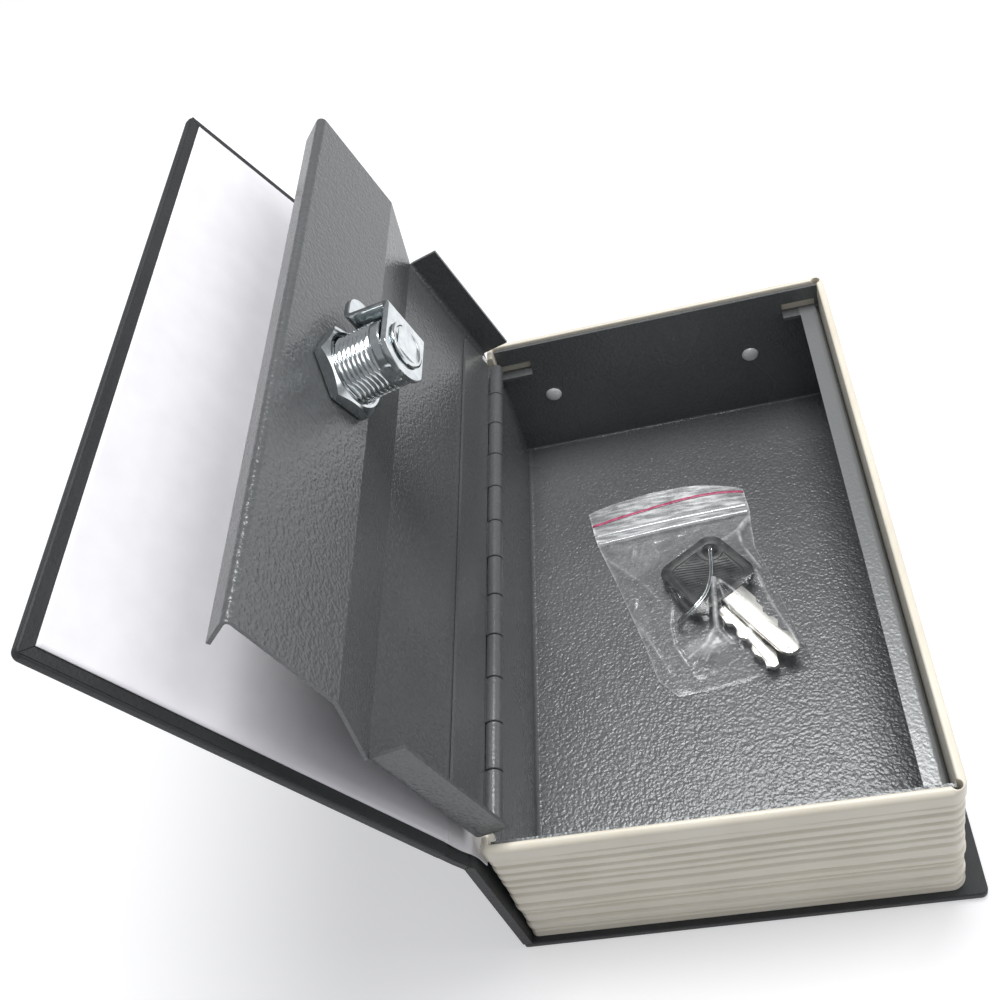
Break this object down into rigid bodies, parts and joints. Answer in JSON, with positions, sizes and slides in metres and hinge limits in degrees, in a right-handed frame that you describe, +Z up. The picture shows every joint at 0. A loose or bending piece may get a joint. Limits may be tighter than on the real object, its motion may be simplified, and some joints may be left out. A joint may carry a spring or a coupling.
{
  "type": "book diversion safe",
  "caption": "Small cash box hidden in a dummy book, with a hard case, a page-edge frame, a steel tray, and a folded steel door on a piano hinge with a cam lock.",
  "frame": {"origin": "middle of the back cover's underside, which the safe stands on", "axes": "+X from the spine to the fore-edge, +Y along the spine from the near end to the far end, +Z up"},
  "size_m": [0.168, 0.1784, 0.1496],
  "materials": {
    "cover_paper": "black grained cover paper over grey board",
    "joint_paper": "black cover cloth along the joint",
    "lining": "white uncoated endpaper",
    "page_plastic": "ivory moulded plastic, satin",
    "hammertone": "grey hammertone powder coat on steel sheet",
    "hinge_paint": "thin grey paint on rolled steel",
    "zinc": "bright zinc plate",
    "rivet_steel": "satin aluminium-white rivet",
    "key_plastic": "black moulded key head",
    "nickel": "nickel plate",
    "bag_film": "clear polythene film with a red zip line"
  },
  "bodies": {
    "box": {"back_board": "cover_paper", "spine_board": "cover_paper", "joint_cloth": "joint_paper", "page_block": "page_plastic", "steel_tray": "hammertone", "tray_rivet_1": "rivet_steel", "tray_rivet_2": "rivet_steel", "tray_rivet_3": "rivet_steel", "tray_rivet_4": "rivet_steel", "hinge_leaf_box": "hinge_paint", "hinge_pin": "rivet_steel"},
    "front_cover": {"front_board": "cover_paper", "endpaper": "lining"},
    "door": {"door_panel": "hammertone", "hinge_leaf_door": "hinge_paint", "lock_barrel": "zinc", "lock_nut": "zinc"},
    "lock": {"lock_plug": "zinc", "lock_cam": "zinc", "cam_ring": "zinc", "plug_wafer_1": "nickel", "plug_wafer_2": "nickel", "plug_wafer_3": "nickel", "plug_wafer_4": "nickel"},
    "keys": {"key_bag": "bag_film", "key_1_head": "key_plastic", "key_1_blade": "nickel", "key_2_head": "key_plastic", "key_2_blade": "nickel", "key_ring": "nickel"}
  },
  "joints": [
    {"name": "door_hinge", "type": "hinge", "parent": "box", "child": "door", "pos_m": [-0.05165, 0, 0.0472], "axis": [0, -1, 0], "range_deg": [-106, 8]},
    {"name": "cover_hinge", "type": "hinge", "parent": "box", "child": "front_cover", "pos_m": [-0.05655, 0, 0.0499], "axis": [0, -1, 0], "range_deg": [-117.35, 9.3]},
    {"name": "lock_turn", "type": "hinge", "parent": "door", "child": "lock", "pos_m": [-0.06739, 0, 0.12206], "axis": [0.9613, 0, 0.2756], "range_deg": [0, 90]},
    {"name": "keys_lift", "type": "slide", "parent": "box", "child": "keys", "axis": [0, 0, 1], "range_m": [0, 0.009]}
  ],
  "couplings": [
    {"joint": "cover_hinge", "follows": "door_hinge", "ratio": 1.1066}
  ]
}
